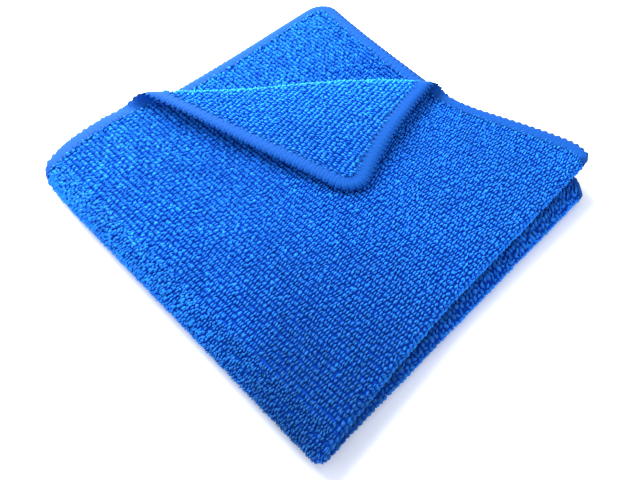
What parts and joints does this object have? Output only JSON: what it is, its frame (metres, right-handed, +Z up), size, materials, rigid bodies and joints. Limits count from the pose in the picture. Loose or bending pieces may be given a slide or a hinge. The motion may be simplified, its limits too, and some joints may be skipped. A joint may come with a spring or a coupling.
{
  "type": "microfibre polishing cloth",
  "caption": "Square terry microfibre polishing cloth with an overlocked edge, folded in quarters, its free top corner turned back; the folds open on joints.",
  "frame": {"origin": "middle of the folded stack's footprint, on its flat underside", "axes": "+Z up through the layers; +X from the back fold to the free edge opposite; +Y from the two side folds to the free edge opposite"},
  "size_m": [0.149, 0.1529, 0.0189],
  "materials": {
    "microfibre_terry": "looped microfibre pile, soft sheen",
    "looper_thread": "textured polyester thread, satin",
    "needle_thread": "spun polyester thread, satin"
  },
  "bodies": {
    "lower_pair": {"bottom_layer": "microfibre_terry", "third_layer": "microfibre_terry", "lower_side_fold": "microfibre_terry", "lower_pair_face_looper_thread": "looper_thread", "lower_pair_reverse_looper_thread": "looper_thread", "lower_pair_needle_thread": "needle_thread"},
    "upper_pair": {"second_layer": "microfibre_terry", "top_layer": "microfibre_terry", "upper_side_fold": "microfibre_terry", "upper_pair_face_looper_thread": "looper_thread", "upper_pair_reverse_looper_thread": "looper_thread", "upper_pair_needle_thread": "needle_thread"},
    "back_fold": {"outer_back_fold": "microfibre_terry", "inner_back_fold": "microfibre_terry", "back_fold_face_looper_thread": "looper_thread", "back_fold_reverse_looper_thread": "looper_thread", "back_fold_needle_thread": "needle_thread", "centre_fold": "microfibre_terry"},
    "corner_roll": {"corner_roll_cloth": "microfibre_terry", "corner_roll_face_looper_thread": "looper_thread", "corner_roll_reverse_looper_thread": "looper_thread", "corner_roll_needle_thread": "needle_thread"},
    "turned_corner": {"turned_corner_cloth": "microfibre_terry", "turned_corner_face_looper_thread": "looper_thread", "turned_corner_reverse_looper_thread": "looper_thread", "turned_corner_needle_thread": "needle_thread"}
  },
  "joints": [
    {"name": "back_fold_first_half", "type": "hinge", "parent": "lower_pair", "child": "back_fold", "pos_m": [-0.07129, 0, 0.00318], "axis": [0, -1, 0], "range_deg": [0, 89.7], "deforming": ["outer_back_fold", "inner_back_fold", "back_fold_face_looper_thread", "back_fold_reverse_looper_thread", "back_fold_needle_thread", "centre_fold"]},
    {"name": "back_fold_second_half", "type": "hinge", "parent": "back_fold", "child": "upper_pair", "pos_m": [-0.07132, 0, 0.0074], "axis": [0, -1, 0], "range_deg": [0, 89.7]},
    {"name": "corner_first_half", "type": "hinge", "parent": "upper_pair", "child": "corner_roll", "pos_m": [-0.03539, 0.07735, 0.01049], "axis": [-0.7532, 0.6577, -0.0079], "range_deg": [0, 91.93], "deforming": ["corner_roll_cloth", "corner_roll_face_looper_thread", "corner_roll_reverse_looper_thread", "corner_roll_needle_thread"]},
    {"name": "corner_second_half", "type": "hinge", "parent": "corner_roll", "child": "turned_corner", "pos_m": [-0.03557, 0.07721, 0.0161], "axis": [-0.7532, 0.6577, -0.0079], "range_deg": [0, 91.93]}
  ],
  "couplings": [
    {"joint": "back_fold_second_half", "follows": "back_fold_first_half", "ratio": 1},
    {"joint": "corner_second_half", "follows": "corner_first_half", "ratio": 1}
  ]
}
